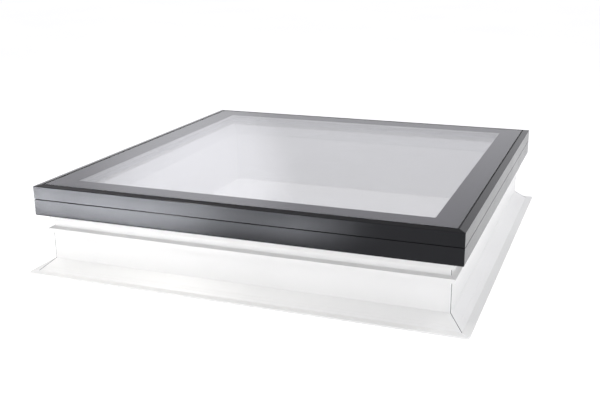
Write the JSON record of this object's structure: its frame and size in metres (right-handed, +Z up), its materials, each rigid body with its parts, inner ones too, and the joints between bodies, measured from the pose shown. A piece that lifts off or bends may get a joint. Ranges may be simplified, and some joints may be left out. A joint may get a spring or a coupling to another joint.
{
  "type": "roof skylight",
  "caption": "Fixed flat-roof skylight: a flush double-glazed unit with a dark border, in a black aluminium frame on a white splayed hollow kerb.",
  "frame": {"origin": "centre of the kerb's underside, on the roof deck", "axes": "+Z up, +Y towards the back, +X to the right; the frame's sides run along X and Y"},
  "size_m": [1.042, 1.042, 0.2135],
  "materials": {
    "pvc_kerb": "white PVC-U, smooth extruded surface",
    "pvc_trim": "white PVC-U, satin extruded surface",
    "coated_aluminium": "black polyester powder coat, satin",
    "mill_aluminium": "mill finish",
    "spacer_aluminium": "bright rolled aluminium",
    "screw_steel": "stainless steel",
    "black_rubber": "black EPDM",
    "black_sealant": "black silicone, tooled",
    "foam_seal": "closed-cell foam",
    "grey_tape": "light grey closed-cell foam",
    "setting_plastic": "black moulded nylon",
    "toughened_glass": "clear toughened glass, polished, with a dark ceramic border under it",
    "laminated_glass": "clear laminated glass, polished"
  },
  "bodies": {
    "root": {"kerb_front": "pvc_kerb", "kerb_right": "pvc_kerb", "kerb_back": "pvc_kerb", "kerb_left": "pvc_kerb", "kerb_seal": "foam_seal", "base_frame_front": "coated_aluminium", "base_frame_right": "coated_aluminium", "base_frame_back": "coated_aluminium", "base_frame_left": "coated_aluminium", "base_frame_cleats": "mill_aluminium", "kerb_screws": "screw_steel", "frame_gaskets": "black_rubber", "glazing_frame_front": "coated_aluminium", "glazing_frame_right": "coated_aluminium", "glazing_frame_back": "coated_aluminium", "glazing_frame_left": "coated_aluminium", "glazing_frame_cleats": "mill_aluminium", "retaining_screws": "screw_steel", "bedding_tape": "grey_tape", "setting_blocks": "setting_plastic", "inner_pane": "laminated_glass", "spacer_bar": "spacer_aluminium", "edge_sealant": "black_sealant", "outer_pane": "toughened_glass", "backer_rod": "grey_tape", "perimeter_silicone": "black_sealant", "trim_gasket": "grey_tape", "inner_trim_front": "pvc_trim", "inner_trim_right": "pvc_trim", "inner_trim_back": "pvc_trim", "inner_trim_left": "pvc_trim"}
  },
  "joints": []
}
